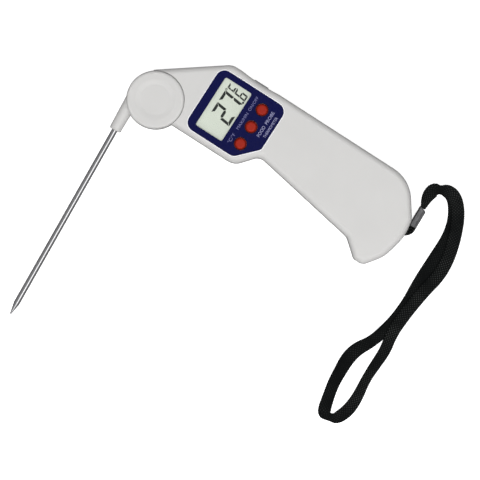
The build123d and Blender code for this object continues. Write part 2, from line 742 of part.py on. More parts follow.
with BuildPart() as pivot_spindle:
    with BuildSketch(Plane.XY.offset(SPINDLE_LOW)):
        Circle(SPINDLE_R)
    extrude(amount=DRUM_Z + DRUM_FLOOR - SPINDLE_LOW)
    with BuildSketch(Plane.XY.offset(DRUM_Z + DRUM_FLOOR)):
        Circle(SPINDLE_HEAD_R)
    extrude(amount=SPINDLE_HEAD_T)
    with BuildSketch(Plane.XY.offset(CLIP_Z[0])):
        Circle(SPINDLE_R + 1)
        Circle(CLIP_GROOVE_R, mode=Mode.SUBTRACT)
    extrude(amount=CLIP_Z[1] - CLIP_Z[0], mode=Mode.SUBTRACT)
    with BuildSketch(Plane.XY.offset(SPINDLE_LOW)):
        Circle(SPINDLE_BORE_R)
    extrude(amount=BODY_T, mode=Mode.SUBTRACT)
pivot_spindle.part.label = "pivot_spindle"
export_step(pivot_spindle.part, "parts/pivot_spindle.step")

with BuildPart() as retaining_clip:
    with BuildSketch(Plane.XY.offset(CLIP_Z[0])):
        Circle(CLIP_R)
        Circle(CLIP_GROOVE_R, mode=Mode.SUBTRACT)
        with Locations((2.0 + CLIP_MOUTH[0] / 2, 0)):
            Rectangle(*CLIP_MOUTH, mode=Mode.SUBTRACT)
    extrude(amount=CLIP_Z[1] - CLIP_Z[0])
retaining_clip.part.label = "retaining_clip"
export_step(retaining_clip.part, "parts/retaining_clip.step")

with BuildPart() as wave_washer:
    with BuildSketch(Plane.XY.offset(CLIP_Z[1] + RUNNING_PLAY)):
        Circle(WASHER_R)
        Circle(SPINDLE_R, mode=Mode.SUBTRACT)
    extrude(amount=WASHER_T)
wave_washer.part.label = "wave_washer"
export_step(wave_washer.part, "parts/wave_washer.step")

with BuildPart() as pivot_oring:
    with BuildSketch(Plane.XZ):
        with Locations((ORING_R, DRUM_Z + ORING_WIRE_R - ORING_PROUD)):
            Circle(ORING_WIRE_R)
    revolve(axis=Axis.Z)
pivot_oring.part.label = "pivot_oring"
export_step(pivot_oring.part, "parts/pivot_oring.step")

# ---------------------------------------------------------------- probe
# The end held in the sleeve is swaged down, so the free length seats against the sleeve's end.
NECK_START = 9.0
with BuildPart() as probe_tube:
    with BuildSketch(across_probe(NECK_START)):
        Circle(NECK_R)
    extrude(amount=SLEEVE_END - NECK_START)
    with BuildSketch(across_probe(SLEEVE_END)):
        Circle(PROBE_R)
    extrude(amount=TUBE_END - SLEEVE_END)
    with BuildSketch(across_probe(NECK_START)):
        Circle(NECK_BORE_R)
    extrude(amount=SLEEVE_END - NECK_START, mode=Mode.SUBTRACT)
    with BuildSketch(across_probe(SLEEVE_END)):
        Circle(PROBE_BORE_R)
    extrude(amount=TUBE_END - SLEEVE_END, mode=Mode.SUBTRACT)
probe_tube.part.label = "probe_tube"
export_step(probe_tube.part, "parts/probe_tube.step")

TIP_END_R = 0.5
SPIGOT_LENGTH = 1.5
along_probe = Plane(hub_point(TUBE_END, -PROBE_OFFSET, PROBE_Z), x_dir=hub_frame.x_dir, z_dir=(0, 0, 1))
with BuildPart() as probe_tip:
    with BuildSketch(along_probe):
        with BuildLine():
            Polyline(
                (-SPIGOT_LENGTH, 0),
                (-SPIGOT_LENGTH, PROBE_BORE_R),
                (0, PROBE_BORE_R),
                (0, PROBE_R),
                (TIP_LENGTH - TIP_END_R, TIP_END_R),
            )
            ThreePointArc(
                (TIP_LENGTH - TIP_END_R, TIP_END_R),
                (TIP_LENGTH - TIP_END_R * (1 - math.sqrt(0.5)), TIP_END_R * math.sqrt(0.5)),
                (TIP_LENGTH, 0),
            )
            Line((TIP_LENGTH, 0), (-SPIGOT_LENGTH, 0))
        make_face()
    revolve(axis=Axis(along_probe.origin, along_probe.x_dir))
probe_tip.part.label = "probe_tip"
export_step(probe_tip.part, "parts/probe_tip.step")

BEAD_LENGTH = 3.5
BEAD_R = 1.1
BEAD_START = TUBE_END - SPIGOT_LENGTH - BEAD_LENGTH
with BuildPart() as sensor_bead:
    with BuildSketch(across_probe(BEAD_START)):
        Circle(BEAD_R)
    extrude(amount=BEAD_LENGTH)
sensor_bead.part.label = "sensor_bead"
export_step(sensor_bead.part, "parts/sensor_bead.step")

LEAD_R = 0.35
with BuildPart() as sensor_leads:
    with BuildLine():
        FilletPolyline(
            hub_point(0, 0, 6.6),
            hub_point(0, 0, 12.0),
            hub_point(1.0, -PROBE_OFFSET + 1.4, 11.2),
            hub_point(3.6, -PROBE_OFFSET, PROBE_Z),
            hub_point(BEAD_START, -PROBE_OFFSET, PROBE_Z),
            radius=[1.2, 1.2, 1.2],
        )
    with BuildSketch(Plane(hub_point(0, 0, 6.6), z_dir=(0, 0, 1))):
        Circle(LEAD_R)
    sweep()
sensor_leads.part.label = "sensor_leads"
export_step(sensor_leads.part, "parts/sensor_leads.step")

with BuildPart() as board_leads:
    with BuildLine():
        FilletPolyline(
            (0, 0, 5.4), (0, 0, 1.3), (20.2, 0, 1.3), (28.0, 0, 7.0), (28.0, 0, PCB_Z), radius=[0.8, 1.5, 1.5]
        )
    with BuildSketch(Plane.XY.offset(5.4)):
        Circle(LEAD_R)
    sweep()
board_leads.part.label = "board_leads"
export_step(board_leads.part, "parts/board_leads.step")

# ---------------------------------------------------------------- case screws
SCREW_HEAD_Z = 0.6
SCREW_HEAD_R = 2.2
SCREW_TIP_Z = 14.0
CROSS_SLOT = (2.6, 0.6)
CROSS_DEPTH = 0.8
with BuildPart() as shell_screws:
    with BuildSketch(Plane.XY.offset(SCREW_HEAD_Z)):
        with Locations(*SCREWS):
            Circle(SCREW_HEAD_R)
    extrude(amount=SCREW_SINK_T - SCREW_HEAD_Z)
    with BuildSketch(Plane.XY.offset(SCREW_HEAD_Z)):
        with Locations(*SCREWS):
            Circle(SCREW_CORE_R)
    extrude(amount=SCREW_TIP_Z - SCREW_HEAD_Z)
    with BuildSketch(Plane.XY.offset(SCREW_HEAD_Z)):
        with Locations(*SCREWS):
            Rectangle(CROSS_SLOT[0], CROSS_SLOT[1])
            Rectangle(CROSS_SLOT[1], CROSS_SLOT[0])
    extrude(amount=CROSS_DEPTH, mode=Mode.SUBTRACT)
shell_screws.part.label = "shell_screws"
export_step(shell_screws.part, "parts/shell_screws.step")

# ---------------------------------------------------------------- lanyard
POST_R = 1.0
with BuildPart() as lanyard_post:
    with BuildSketch(Plane.XY.offset(LANYARD_POCKET_Z[0])):
        with Locations(POST):
            Circle(POST_R)
    extrude(amount=LANYARD_POCKET_Z[1] - LANYARD_POCKET_Z[0])
lanyard_post.part.label = "lanyard_post"
export_step(lanyard_post.part, "parts/lanyard_post.step")

STUB_EYE_R = 2.2
STUB_T = 1.9
STUB_PLAY = 0.2
STUB_END = (3.6, 0.4)
with BuildPart() as cord_stub:
    with BuildSketch(Plane.XY.offset(LANYARD_POCKET_Z[0] + STUB_PLAY)):
        with BuildSketch(mode=Mode.PRIVATE) as stub_ends:
            with Locations(POST):
                Circle(STUB_EYE_R)
            with Locations((FERRULE_BASE[0], FERRULE_BASE[1] - 0.32)):
                Rectangle(*STUB_END)
        make_hull(stub_ends.sketch.edges())
        with Locations(POST):
            Circle(POST_R + RUNNING_PLAY, mode=Mode.SUBTRACT)
    extrude(amount=STUB_T)
cord_stub.part.label = "cord_stub"
export_step(cord_stub.part, "parts/cord_stub.step")

ferrule_axis = Vector(*FERRULE_TOP) - Vector(*FERRULE_BASE)
ferrule_plane = Plane(
    (*FERRULE_BASE, sum(FERRULE_Z) / 2), x_dir=(ferrule_axis.Y, -ferrule_axis.X, 0), z_dir=ferrule_axis
)
FERRULE_CORNER_R = 1.3
SEAM_R = 0.4
SEAM_SHIFT = 0.3
with BuildPart() as ferrule:
    with BuildSketch(ferrule_plane):
        RectangleRounded(FERRULE_W, FERRULE_Z[1] - FERRULE_Z[0], FERRULE_CORNER_R)
        with Locations((SEAM_SHIFT, (FERRULE_Z[1] - FERRULE_Z[0]) / 2)):
            Circle(SEAM_R, mode=Mode.SUBTRACT)
    extrude(amount=ferrule_axis.length)
ferrule.part.label = "ferrule"
export_step(ferrule.part, "parts/ferrule.step")

# The strap is one flat woven loop: an inner leg that lies on the table, an outer leg that
# lies on it until the two part lower down, and the fold where they meet again.
OUTER_LEG = [
    (161.6, 34.9), (161.1, 40.0), (162.3, 44.6), (165.6, 46.4), (168.4, 47.0), (171.6, 47.4), (175.5, 46.2),
    (179.5, 42.4), (183.0, 37.1), (186.0, 30.4), (188.9, 22.4), (191.2, 12.6), (191.5, 2.5), (189.4, -7.5),
    (187.8, -18.7), (186.8, -29.9), (186.8, -40.0), (188.8, -50.1), (188.4, -60.7), (188.4, -70.3),
    (189.8, -80.5), (189.6, -89.6), (186.6, -97.6),
]
INNER_LEG = [
    (162.0, 34.9), (161.7, 39.8), (163.1, 44.0), (165.9, 45.9), (168.4, 46.6), (171.0, 46.6), (174.3, 45.1),
    (177.9, 41.2), (181.0, 35.9), (183.0, 29.8), (184.1, 22.8), (184.0, 12.6), (183.9, 2.5), (184.0, -7.6),
    (184.9, -18.7), (184.3, -30.1), (182.5, -39.0), (179.5, -49.5), (174.2, -57.9), (172.6, -65.8),
    (173.0, -73.4), (173.6, -81.5), (175.1, -89.6), (177.6, -97.3),
]


def corner_radii(points):
    """Radius of each corner's arc: 0.45 of the shorter run over the tangent of half the turn."""
    radii = []
    for before, corner, after in zip(points, points[1:], points[2:]):
        into = Vector(*corner) - Vector(*before)
        out = Vector(*after) - Vector(*corner)
        half_turn = math.radians(into.get_angle(out)) / 2
        radii.append(0.45 * min(into.length, out.length) / math.tan(half_turn))
    return radii


def sweep_leg(points, z):
    """Flat band along the route at this height; prints its radii and its volume against its length."""
    radii = corner_radii(points)
    with BuildPart() as leg:
        with BuildLine(Plane.XY.offset(z)) as route:
            FilletPolyline(*points, radius=radii)
        with BuildSketch(Plane(route.wire() @ 0, x_dir=(0, 0, 1), z_dir=route.wire() % 0)):
            Rectangle(STRAP_T, STRAP_W)
        sweep()
    print("radii", [round(radius, 1) for radius in radii])
    print("length", round(route.wire().length, 1), "volume ratio",
          round(leg.part.volume / (route.wire().length * STRAP_T * STRAP_W), 4))
    return leg


strap_outer_leg = sweep_leg(OUTER_LEG, LEG_HIGH_Z)
strap_outer_leg.part.label = "strap_outer_leg"
export_step(strap_outer_leg.part, "parts/strap_outer_leg.step")

strap_inner_leg = sweep_leg(INNER_LEG, LEG_LOW_Z)
strap_inner_leg.part.label = "strap_inner_leg"
export_step(strap_inner_leg.part, "parts/strap_inner_leg.step")

STRAP_LOW = LEG_LOW_Z - STRAP_T / 2
STRAP_HIGH = LEG_HIGH_Z + STRAP_T / 2
# the fold's two rounded ends: centre and radius
FOLD_ENDS = [((179.9, -99.3), 2.6), ((184.2, -99.6), 2.4)]
with BuildPart() as strap_fold:
    with BuildSketch(Plane.XY.offset(STRAP_LOW)):
        with BuildSketch(mode=Mode.PRIVATE) as fold_ends:
            for centre, radius in FOLD_ENDS:
                with Locations(centre):
                    Circle(radius)
        make_hull(fold_ends.sketch.edges())
    extrude(amount=STRAP_HIGH - STRAP_LOW)
strap_fold.part.label = "strap_fold"
export_step(strap_fold.part, "parts/strap_fold.step")

GATHER_W = 3.0
with BuildPart() as strap_gather:
    with BuildSketch(Plane.XY.offset(STRAP_LOW)):
        with BuildLine():
            Polyline(
                (FERRULE_TOP[0] - GATHER_W / 2, FERRULE_TOP[1] + 0.06),
                (FERRULE_TOP[0] + GATHER_W / 2, FERRULE_TOP[1] + 0.16),
                (164.6, 36.4),
                (158.4, 38.6),
                (FERRULE_TOP[0] - GATHER_W / 2, FERRULE_TOP[1] + 0.06),
            )
        make_face()
    extrude(amount=STRAP_HIGH - STRAP_LOW)
strap_gather.part.label = "strap_gather"
export_step(strap_gather.part, "parts/strap_gather.step")
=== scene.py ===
import math

import bmesh
import bpy
from mathutils import Euler, Matrix, Vector


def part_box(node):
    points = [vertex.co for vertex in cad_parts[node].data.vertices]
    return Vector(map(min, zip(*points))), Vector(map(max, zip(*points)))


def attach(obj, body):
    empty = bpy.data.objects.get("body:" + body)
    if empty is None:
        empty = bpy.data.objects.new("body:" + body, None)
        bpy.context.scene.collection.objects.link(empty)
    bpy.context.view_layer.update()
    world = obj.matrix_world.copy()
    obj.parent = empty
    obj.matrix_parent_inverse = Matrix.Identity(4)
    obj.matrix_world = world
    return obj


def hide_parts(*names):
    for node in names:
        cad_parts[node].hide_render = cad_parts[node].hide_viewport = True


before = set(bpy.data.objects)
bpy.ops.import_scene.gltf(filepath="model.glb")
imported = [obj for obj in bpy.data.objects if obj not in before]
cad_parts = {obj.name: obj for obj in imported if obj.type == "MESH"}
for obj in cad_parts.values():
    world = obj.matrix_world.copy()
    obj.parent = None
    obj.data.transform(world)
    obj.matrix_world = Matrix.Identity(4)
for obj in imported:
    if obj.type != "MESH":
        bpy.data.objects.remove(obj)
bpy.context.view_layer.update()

MM = 0.001
HOUSING = "housing"


# ---------------------------------------------------------------- camera, light and floor
# The camera looks straight down. The housing's long axis runs down to the right in its frame.
TURN = math.radians(32.7)
VIEW_CENTRE = Vector((83.8, -41.2, 20.0)) * MM
VIEW_WIDTH = 273.6 * MM
LENS = 200.0
SENSOR = 36.0


def make_camera():
    data = bpy.data.cameras.new("camera")
    data.lens = LENS
    data.sensor_width = SENSOR
    camera = bpy.data.objects.new("camera", data)
    distance = VIEW_WIDTH * LENS / SENSOR
    camera.location = VIEW_CENTRE + Vector((0, 0, distance))
    camera.rotation_euler = (0, 0, TURN)
    bpy.context.scene.collection.objects.link(camera)
    bpy.context.scene.camera = camera


def in_view(right, up, height):
    """A place given to the right of and above the picture's centre, at this height."""
    right_axis = Vector((math.cos(TURN), math.sin(TURN), 0))
    up_axis = Vector((-math.sin(TURN), math.cos(TURN), 0))
    return Vector((VIEW_CENTRE.x, VIEW_CENTRE.y, height)) + right_axis * right + up_axis * up


def make_area_light(name, place, target, size, power):
    data = bpy.data.lights.new(name, "AREA")
    data.shape = "RECTANGLE"
    data.size, data.size_y = size
    data.energy = power
    light = bpy.data.objects.new(name, data)
    light.location = place
    light.rotation_mode = "QUATERNION"
    light.rotation_quaternion = (target - place).to_track_quat("-Z", "Y")
    light.visible_camera = False
    bpy.context.scene.collection.objects.link(light)
    return light


WORLD_STRENGTH = 0.42
WORLD_LOW = (0.5, 0.5, 0.51)
WORLD_HIGH = (0.9, 0.9, 0.9)


def make_world():
    """A dim studio: brighter overhead, darker towards the horizon."""
    world = bpy.data.worlds.new("studio")
    bpy.context.scene.world = world
    world.use_nodes = True
    nodes, links = world.node_tree.nodes, world.node_tree.links
    coords = nodes.new("ShaderNodeTexCoord")
    split = nodes.new("ShaderNodeSeparateXYZ")
    ramp = nodes.new("ShaderNodeValToRGB")
    ramp.color_ramp.elements[0].position = 0.1
    ramp.color_ramp.elements[0].color = (*WORLD_LOW, 1)
    ramp.color_ramp.elements[1].position = 0.9
    ramp.color_ramp.elements[1].color = (*WORLD_HIGH, 1)
    links.new(coords.outputs["Generated"], split.inputs[0])
    links.new(split.outputs["Z"], ramp.inputs[0])
    links.new(ramp.outputs[0], nodes["Background"].inputs["Color"])
    nodes["Background"].inputs["Strength"].default_value = WORLD_STRENGTH


PANEL_PLACE = Vector((0.5, -0.08, 1.15))
PANEL_TILT = math.radians(20)


def make_lights():
    """Places and sizes are in metres, powers in watts."""
    softbox = make_area_light("softbox", in_view(-0.12, -0.18, 1.3), VIEW_CENTRE, (0.9, 0.9), 15.5)
    softbox.visible_glossy = False
    # long panel parallel to the unfolded probe: its mirror image is the bright line along the shaft
    panel = make_area_light("panel", PANEL_PLACE, VIEW_CENTRE, (0.6, 1.5), 5.2)
    panel.rotation_quaternion = Euler((0, PANEL_TILT, 0)).to_quaternion()
    panel.visible_diffuse = False
    window = make_area_light("window", in_view(0.35, -1.0, 0.55), VIEW_CENTRE, (0.9, 0.6), 2.4)
    window.visible_glossy = False


FLOOR_SIZE = 6.0
FLOOR_DROP = 0.2 * MM
FLOOR_ALBEDO = 0.95
FLOOR_GLOW = 0.6


def make_floor():
    """Pale and evenly bright. It lights nothing and shows in no reflection."""
    bpy.ops.mesh.primitive_plane_add(size=FLOOR_SIZE, location=(0, 0, -FLOOR_DROP))
    floor = bpy.context.object
    floor.name = "floor"
    material, shader = new_material("floor_pale")
    shader.inputs["Base Color"].default_value = (FLOOR_ALBEDO, FLOOR_ALBEDO, FLOOR_ALBEDO, 1)
    shader.inputs["Roughness"].default_value = 0.9
    shader.inputs["Specular IOR Level"].default_value = 0.0
    shader.inputs["Emission Color"].default_value = (1, 1, 1, 1)
    shader.inputs["Emission Strength"].default_value = FLOOR_GLOW
    floor.visible_diffuse = False
    floor.visible_glossy = False
    floor.data.materials.append(material)


def make_stage():
    bpy.context.scene.view_settings.view_transform = "Standard"
    make_world()
    make_lights()
    make_floor()


# ---------------------------------------------------------------- materials
def new_material(name):
    material = bpy.data.materials.new(name)
    material.use_nodes = True
    return material, material.node_tree.nodes["Principled BSDF"]


class Finish:
    """A Principled material whose colour, roughness and bump come from procedural nodes."""

    def __init__(self, name, colour, roughness, metallic=0.0):
        self.material, self.shader = new_material(name)
        self.nodes = self.material.node_tree.nodes
        self.links = self.material.node_tree.links
        self.coords = self.nodes.new("ShaderNodeTexCoord")
        self.shader.inputs["Base Color"].default_value = (*colour, 1)
        self.shader.inputs["Roughness"].default_value = roughness
        self.shader.inputs["Metallic"].default_value = metallic
        self.colour = colour
        self.bump = None

    def noise(self, scale, detail=2.0, stretch=(1, 1, 1)):
        mapping = self.nodes.new("ShaderNodeMapping")
        mapping.inputs["Scale"].default_value = stretch
        noise = self.nodes.new("ShaderNodeTexNoise")
        noise.inputs["Scale"].default_value = scale
        noise.inputs["Detail"].default_value = detail
        self.links.new(self.coords.outputs["Object"], mapping.inputs["Vector"])
        self.links.new(mapping.outputs[0], noise.inputs["Vector"])
        return noise.outputs[0]

    def ramp(self, value, low, high, low_at=0.3, high_at=0.7):
        ramp = self.nodes.new("ShaderNodeValToRGB")
        ramp.color_ramp.elements[0].position = low_at
        ramp.color_ramp.elements[1].position = high_at
        ramp.color_ramp.elements[0].color = (*low, 1)
        ramp.color_ramp.elements[1].color = (*high, 1)
        self.links.new(value, ramp.inputs[0])
        return ramp.outputs[0]

    def spread(self, value, low, high, from_low=0.0, from_high=1.0):
        spread = self.nodes.new("ShaderNodeMapRange")
        spread.inputs["From Min"].default_value = from_low
        spread.inputs["From Max"].default_value = from_high
        spread.inputs["To Min"].default_value = low
        spread.inputs["To Max"].default_value = high
        self.links.new(value, spread.inputs["Value"])
        return spread.outputs[0]

    def multiply(self, first, second):
        product = self.nodes.new("ShaderNodeMath")
        product.operation = "MULTIPLY"
        self.links.new(first, product.inputs[0])
        if isinstance(second, float):
            product.inputs[1].default_value = second
        else:
            self.links.new(second, product.inputs[1])
        return product.outputs[0]

    def sine(self, value):
        sine = self.nodes.new("ShaderNodeMath")
        sine.operation = "SINE"
        self.links.new(value, sine.inputs[0])
        return sine.outputs[0]

    def vary_colour(self, value, dark=0.95, light=1.03):
        low = [channel * dark for channel in self.colour]
        high = [min(1.0, channel * light) for channel in self.colour]
        self.links.new(self.ramp(value, low, high), self.shader.inputs["Base Color"])
        return self

    def vary_roughness(self, value, low, high):
        self.links.new(self.spread(value, low, high), self.shader.inputs["Roughness"])
        return self

    def add_bump(self, value, depth, strength=1.0):
        bump = self.nodes.new("ShaderNodeBump")
        bump.inputs["Distance"].default_value = depth
        bump.inputs["Strength"].default_value = strength
        self.links.new(value, bump.inputs["Height"])
        if self.bump:
            self.links.new(self.bump.outputs[0], bump.inputs["Normal"])
        self.links.new(bump.outputs[0], self.shader.inputs["Normal"])
        self.bump = bump
        return self


def moulded_plastic(name, colour, roughness=0.5, grain=0.03 * MM, shine=0.35):
    """Spark-eroded mould texture: fine grain, faint cloudiness."""
    finish = Finish(name, colour, roughness)
    finish.shader.inputs["Specular IOR Level"].default_value = shine
    grain_noise = finish.noise(scale=2600, detail=3)
    cloud = finish.noise(scale=55, detail=2)
    finish.vary_colour(cloud, dark=0.985, light=1.01)
    finish.vary_roughness(grain_noise, low=roughness - 0.06, high=roughness + 0.08)
    finish.add_bump(grain_noise, depth=grain)
    return finish.material


def smooth_plastic(name, colour, roughness=0.25, shine=0.25):
    finish = Finish(name, colour, roughness)
    finish.shader.inputs["Specular IOR Level"].default_value = shine
    waves = finish.noise(scale=240, detail=2)
    finish.vary_colour(waves, dark=0.93, light=1.05)
    finish.vary_roughness(finish.noise(scale=900, detail=2), low=roughness - 0.04, high=roughness + 0.05)
    finish.add_bump(waves, depth=0.01 * MM)
    return finish.material


def turned_steel(name, colour, roughness, stretch):
    """Polished steel with fine lines along one direction."""
    finish = Finish(name, colour, roughness, metallic=1.0)
    lines = finish.noise(scale=2500, detail=2, stretch=stretch)
    finish.vary_colour(lines, dark=0.93, light=1.05)
    finish.vary_roughness(lines, low=roughness - 0.05, high=roughness + 0.07)
    finish.add_bump(lines, depth=0.004 * MM)
    return finish.material


def lcd_face(name, colour):
    finish = Finish(name, colour, 0.35)
    fine = finish.noise(scale=1500, detail=2)
    cloud = finish.noise(scale=70, detail=2)
    finish.vary_colour(cloud, dark=0.96, light=1.03)
    finish.add_bump(fine, depth=0.004 * MM)
    return finish.material


def clear_lens(name):
    finish = Finish(name, (0.02, 0.025, 0.02), 0.08)
    finish.vary_roughness(finish.noise(scale=300, detail=2), low=0.05, high=0.11)
    finish.shader.inputs["Specular IOR Level"].default_value = 0.3
    finish.shader.inputs["Alpha"].default_value = 0.07
    return finish.material


def solder_mask(name):
    """Circuit board: green mask with lighter traces in a cell pattern."""
    finish = Finish(name, (0.015, 0.13, 0.05), 0.3)
    cells = finish.nodes.new("ShaderNodeTexVoronoi")
    cells.feature = "DISTANCE_TO_EDGE"
    cells.inputs["Scale"].default_value = 420
    finish.links.new(finish.coords.outputs["Object"], cells.inputs["Vector"])
    edges = cells.outputs["Distance"]
    traces = finish.ramp(edges, (0.05, 0.26, 0.09), (0.012, 0.11, 0.04), low_at=0.03, high_at=0.1)
    finish.links.new(traces, finish.shader.inputs["Base Color"])
    finish.add_bump(edges, depth=0.02 * MM, strength=0.4)
    return finish.material


def striped_rubber(name):
    finish = Finish(name, (0.3, 0.3, 0.32), 0.7)
    stripes = finish.nodes.new("ShaderNodeTexWave")
    stripes.bands_direction = "Y"
    stripes.inputs["Scale"].default_value = 900
    finish.links.new(finish.coords.outputs["Object"], stripes.inputs["Vector"])
    pattern = finish.ramp(stripes.outputs["Fac"], (0.02, 0.02, 0.02), (0.6, 0.6, 0.62))
    finish.links.new(pattern, finish.shader.inputs["Base Color"])
    return finish.material


WEAVE_PITCH = 1.8 * MM


def woven_black(name):
    """Woven ribbon. The UV map is in metres: along the strap and around it."""
    finish = Finish(name, (0.016, 0.017, 0.018), 0.75)
    split = finish.nodes.new("ShaderNodeSeparateXYZ")
    finish.links.new(finish.coords.outputs["UV"], split.inputs[0])

    def yarn(socket):
        return finish.sine(finish.multiply(socket, 2 * math.pi / WEAVE_PITCH))

    yarns = finish.multiply(yarn(split.outputs["X"]), yarn(split.outputs["Y"]))
    raise_up = finish.spread(yarns, 0.0, 1.0, from_low=-1.0)
    # painted sheen: pale dots on the yarns' crowns, weaker in random patches; painted shade: fainter on the
    # loop's second half, the inner leg that lies under the outer one
    patches = finish.spread(finish.noise(scale=90, detail=2), 0.75, 1.0, from_low=0.3, from_high=0.7)
    under_leg_shade = finish.spread(split.outputs["X"], 1.0, 0.86, from_low=170 * MM, from_high=190 * MM)
    painted_sheen_and_shade = finish.multiply(raise_up, finish.multiply(patches, under_leg_shade))
    colour = finish.ramp(painted_sheen_and_shade, (0.0015, 0.002, 0.002), (0.055, 0.058, 0.056), low_at=0.62, high_at=1.0)
    finish.links.new(colour, finish.shader.inputs["Base Color"])
    finish.add_bump(finish.noise(scale=6000, detail=2), depth=0.03 * MM, strength=0.6)
    finish.add_bump(raise_up, depth=0.12 * MM, strength=0.8)
    finish.shader.inputs["Specular IOR Level"].default_value = 0.12
    return finish.material


def printed_ink(name, colour):
    finish = Finish(name, colour, 0.45)
    finish.vary_colour(finish.noise(scale=2200, detail=3), dark=0.8, light=1.1)
    return finish.material


def crimped_metal(name):
    finish = Finish(name, (0.14, 0.14, 0.145), 0.42, metallic=0.85)
    scuffs = finish.noise(scale=1400, detail=3, stretch=(1, 0.15, 1))
    finish.vary_colour(scuffs, dark=0.8, light=1.15)
    finish.vary_roughness(scuffs, low=0.32, high=0.52)
    finish.add_bump(scuffs, depth=0.02 * MM)
    return finish.material


# colours are linear; the last value of a steel is the stretch of its lines along x, y and z
PLASTIC = moulded_plastic("housing_plastic", (0.57, 0.565, 0.555))
NAVY = smooth_plastic("panel_navy", (0.003, 0.004, 0.05), roughness=0.2, shine=0.1)
RED = moulded_plastic("button_red", (0.29, 0.015, 0.006), roughness=0.38, grain=0.01 * MM, shine=0.15)
STEEL = turned_steel("probe_steel", (0.55, 0.55, 0.56), 0.13, (1, 0.02, 1))
SCREW = turned_steel("screw_steel", (0.4, 0.4, 0.41), 0.3, (1, 1, 0.1))
STRAP = woven_black("strap_woven")

NODE_MATERIALS = {
    "front_shell": PLASTIC,
    "rear_shell": PLASTIC,
    "pivot_cover": PLASTIC,
    "probe_hub": PLASTIC,
    "hub_cap": PLASTIC,
    # darker grey than the housing: painted shade on the drawer's lip, which sits low under the housing's
    # edge
    "battery_drawer": moulded_plastic("drawer_painted_shade", (0.38, 0.38, 0.38)),
    "bezel_panel": NAVY,
    "lcd_window": clear_lens("lens_clear"),
    "lcd_glass": lcd_face("lcd_pale", (0.76, 0.82, 0.71)),
    "lcd_segments": printed_ink("lcd_ink", (0.012, 0.016, 0.014)),
    "lcd_frame": smooth_plastic("inner_plastic", (0.75, 0.75, 0.73), 0.45),
    "zebra_strips": striped_rubber("zebra_rubber"),
    "main_pcb": solder_mask("pcb_green"),
    "pcb_chips": smooth_plastic("chip_black", (0.02, 0.02, 0.022), 0.5),
    "tact_switches": smooth_plastic("switch_black", (0.03, 0.03, 0.03), 0.4),
    "pcb_screws": SCREW,
    "shell_screws": SCREW,
    "retaining_clip": SCREW,
    "wave_washer": SCREW,
    "battery_contact_plus": turned_steel("spring_brass_plus", (0.7, 0.6, 0.38), 0.3, (1, 0.1, 1)),
    "battery_contact_minus": turned_steel("spring_brass_minus", (0.7, 0.6, 0.38), 0.3, (0.1, 1, 1)),
    "pivot_bush": smooth_plastic("acetal", (0.78, 0.76, 0.7), 0.35),
    "pivot_spindle": turned_steel("spindle_steel", (0.5, 0.5, 0.51), 0.25, (1, 1, 0.1)),
    "pivot_oring": smooth_plastic("seal_rubber", (0.015, 0.015, 0.015), 0.55),
    "lanyard_post": SCREW,
    "probe_tube": STEEL,
    "probe_tip": STEEL,
    "sensor_bead": smooth_plastic("bead_epoxy", (0.04, 0.05, 0.03), 0.3),
    "sensor_leads": smooth_plastic("lead_red", (0.5, 0.05, 0.03), 0.4),
    "board_leads": smooth_plastic("lead_blue", (0.03, 0.06, 0.3), 0.4),
    "coin_cell": turned_steel("cell_steel", (0.6, 0.6, 0.6), 0.22, (1, 1, 1)),
    "button_on_off": RED,
    "button_max_min": RED,
    "button_unit": RED,
}


def finish_nodes():
    for node, material in NODE_MATERIALS.items():
        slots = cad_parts[node].data.materials
        if not slots:
            slots.append(material)
        for index in range(len(slots)):
            slots[index] = material


# ---------------------------------------------------------------- mesh helpers
def add_piece(name, points, faces, material):
    mesh = bpy.data.meshes.new(name)
    mesh.from_pydata([tuple(point) for point in points], [], faces)
    mesh.validate()
    piece = bpy.data.objects.new(name, mesh)
    bpy.context.scene.collection.objects.link(piece)
    mesh.materials.append(material)
    for polygon in mesh.polygons:
        polygon.use_smooth = True
    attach(piece, HOUSING)
    return piece


def ring_faces(rings, around):
    """Quads between closed rings of points, and a cap at each end."""
    faces = []
    for ring in range(rings - 1):
        for step in range(around):
            here = ring * around + step
            beside = ring * around + (step + 1) % around
            faces.append((here, beside, beside + around, here + around))
    faces.append(tuple(reversed(range(around))))
    faces.append(tuple(range((rings - 1) * around, rings * around)))
    return faces


def hoop_faces(turns, section):
    """Quads of a closed hoop: turns round it, each with a closed section of points."""
    faces = []
    for turn in range(turns):
        for step in range(section):
            here = turn * section
            beyond = (turn + 1) % turns * section
            beside = (step + 1) % section
            faces.append((here + step, here + beside, beyond + beside, beyond + step))
    return faces


def turned_over(faces):
    """The same faces seen from their other side, each from the same first corner."""
    return [(face[0], *reversed(face[1:])) for face in faces]


def signed_power(value, power):
    """The power of a cosine or sine that keeps its sign: under 1 it makes a round section squarer."""
    return math.copysign(abs(value) ** power, value)


def lay_uv(piece, around, ring_pitch, across):
    """UV map in metres: along the rings, and the given place across for each point."""
    layer = piece.data.uv_layers.new(name="UVMap")
    for loop in piece.data.loops:
        ring = loop.vertex_index // around
        layer.data[loop.index].uv = (ring_pitch * ring, across[loop.vertex_index])


NURBS_STEPS = 24


def smooth_line(control):
    """Points along the NURBS spline with these control points, which are in metres."""
    curve = bpy.data.curves.new("line", "CURVE")
    curve.dimensions = "3D"
    curve.resolution_u = NURBS_STEPS
    spline = curve.splines.new("NURBS")
    spline.points.add(len(control) - 1)
    for point, place in zip(spline.points, control):
        point.co = (*place, 1)
    spline.order_u = 3
    spline.use_endpoint_u = True
    holder = bpy.data.objects.new("line", curve)
    bpy.context.scene.collection.objects.link(holder)
    mesh = bpy.data.meshes.new_from_object(holder)
    line = [vertex.co.copy() for vertex in mesh.vertices]
    bpy.data.objects.remove(holder)
    bpy.data.curves.remove(curve)
    bpy.data.meshes.remove(mesh)
    return line


